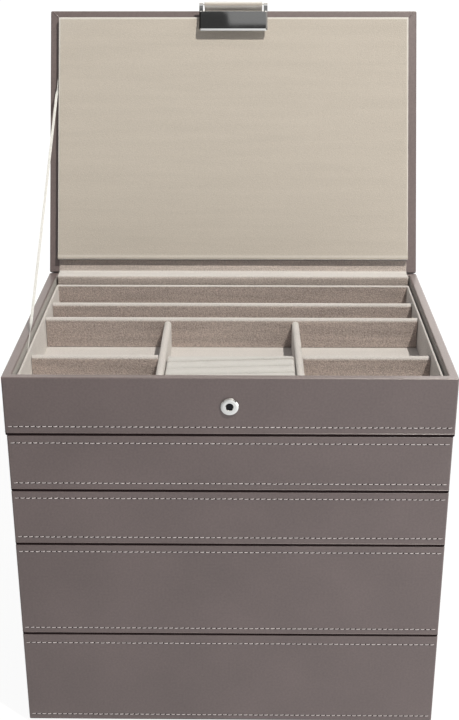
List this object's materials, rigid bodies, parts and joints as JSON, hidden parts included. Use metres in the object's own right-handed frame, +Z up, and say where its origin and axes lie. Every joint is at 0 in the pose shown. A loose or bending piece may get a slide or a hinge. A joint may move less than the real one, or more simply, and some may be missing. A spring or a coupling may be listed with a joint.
{
  "type": "tiered jewelry box",
  "caption": "Rectangular jewelry box of stacked leatherette trays with velvet-lined compartments, a hinged padded lid on a ribbon stay and a magnetic plaque closure.",
  "frame": {"origin": "centre of the bottom plinth's underside, on the surface that the box stands on", "axes": "+X to the right seen from the front, +Y to the back, where the lid is hinged, +Z up"},
  "size_m": [0.2516, 0.2612, 0.4076],
  "materials": {
    "leatherette": "matt fine-grained taupe leatherette over board",
    "velvet": "short-pile pale stone velvet",
    "lid_velvet": "short-pile pale stone velvet, stretched flat",
    "base_cloth": "board with a dark cloth cover",
    "card": "plain card",
    "polished_metal": "mirror-polished plating",
    "magnet": "dark plated magnet",
    "ribbon": "smooth woven ribbon"
  },
  "bodies": {
    "bottom_tray": {"bottom_tray_base": "base_cloth", "bottom_tray_case": "leatherette", "bottom_tray_divider": "velvet", "bottom_tray_liner": "velvet", "bottom_tray_underlay": "card"},
    "deep_tray": {"deep_tray_base": "base_cloth", "deep_tray_case": "leatherette", "deep_tray_divider_left": "velvet", "deep_tray_divider_right": "velvet", "deep_tray_liner": "velvet", "deep_tray_underlay": "card"},
    "lower_tray": {"lower_tray_base": "base_cloth", "lower_tray_bracelet_divider": "velvet", "lower_tray_case": "leatherette", "lower_tray_cross_divider": "velvet", "lower_tray_liner": "velvet", "lower_tray_ring_pad_base": "card", "lower_tray_ring_pad_rolls": "velvet", "lower_tray_underlay": "card"},
    "upper_tray": {"upper_tray_base": "base_cloth", "upper_tray_case": "leatherette", "upper_tray_liner": "velvet", "upper_tray_long_divider_1": "velvet", "upper_tray_short_divider_1_1": "velvet", "upper_tray_short_divider_1_2": "velvet", "upper_tray_short_divider_1_3": "velvet", "upper_tray_short_divider_2_1": "velvet", "upper_tray_short_divider_2_2": "velvet", "upper_tray_short_divider_2_3": "velvet", "upper_tray_underlay": "card"},
    "top_tray": {"cross_divider_left": "velvet", "cross_divider_right": "velvet", "hinge_flap": "leatherette", "hinge_strip": "velvet", "low_divider_left": "velvet", "low_divider_right": "velvet", "necklace_divider": "velvet", "rear_ledge": "velvet", "ribbon_stay": "ribbon", "ring_pad_base": "card", "ring_pad_rolls": "velvet", "row_divider": "velvet", "stud_magnet": "magnet", "stud_ring": "polished_metal", "stud_washer": "polished_metal", "top_tray_base": "base_cloth", "top_tray_case": "leatherette", "top_tray_liner": "velvet", "top_tray_underlay": "card"},
    "lid": {"lid_board": "leatherette", "lid_pad": "lid_velvet", "strap_anchor": "velvet"},
    "strap": {"closure_strap": "velvet"},
    "plaque": {"keeper_magnet": "magnet", "plaque": "polished_metal", "plaque_pin": "polished_metal"}
  },
  "joints": [
    {"name": "deep_tray_lift", "type": "slide", "parent": "bottom_tray", "child": "deep_tray", "axis": [0, 0, 1], "range_m": [0, 0.1]},
    {"name": "lower_tray_lift", "type": "slide", "parent": "deep_tray", "child": "lower_tray", "axis": [0, 0, 1], "range_m": [0, 0.1]},
    {"name": "upper_tray_lift", "type": "slide", "parent": "lower_tray", "child": "upper_tray", "axis": [0, 0, 1], "range_m": [0, 0.1]},
    {"name": "top_tray_lift", "type": "slide", "parent": "upper_tray", "child": "top_tray", "axis": [0, 0, 1], "range_m": [0, 0.1]},
    {"name": "lid_hinge", "type": "hinge", "parent": "top_tray", "child": "lid", "pos_m": [0, 0.09, 0.23545], "axis": [1, 0, 0], "range_deg": [0, 113.1], "deforming": ["hinge_strip", "hinge_flap", "ribbon_stay"]},
    {"name": "strap_fold", "type": "hinge", "parent": "lid", "child": "strap", "pos_m": [0, 0.16218, 0.40199], "axis": [-1, 0, 0], "range_deg": [0, 100]},
    {"name": "plaque_swing", "type": "hinge", "parent": "strap", "child": "plaque", "pos_m": [0, 0.15464, 0.40585], "axis": [1, 0, 0], "range_deg": [-84, 0]}
  ],
  "couplings": [
    {"joint": "plaque_swing", "follows": "lid_hinge", "ratio": -0.73475}
  ]
}
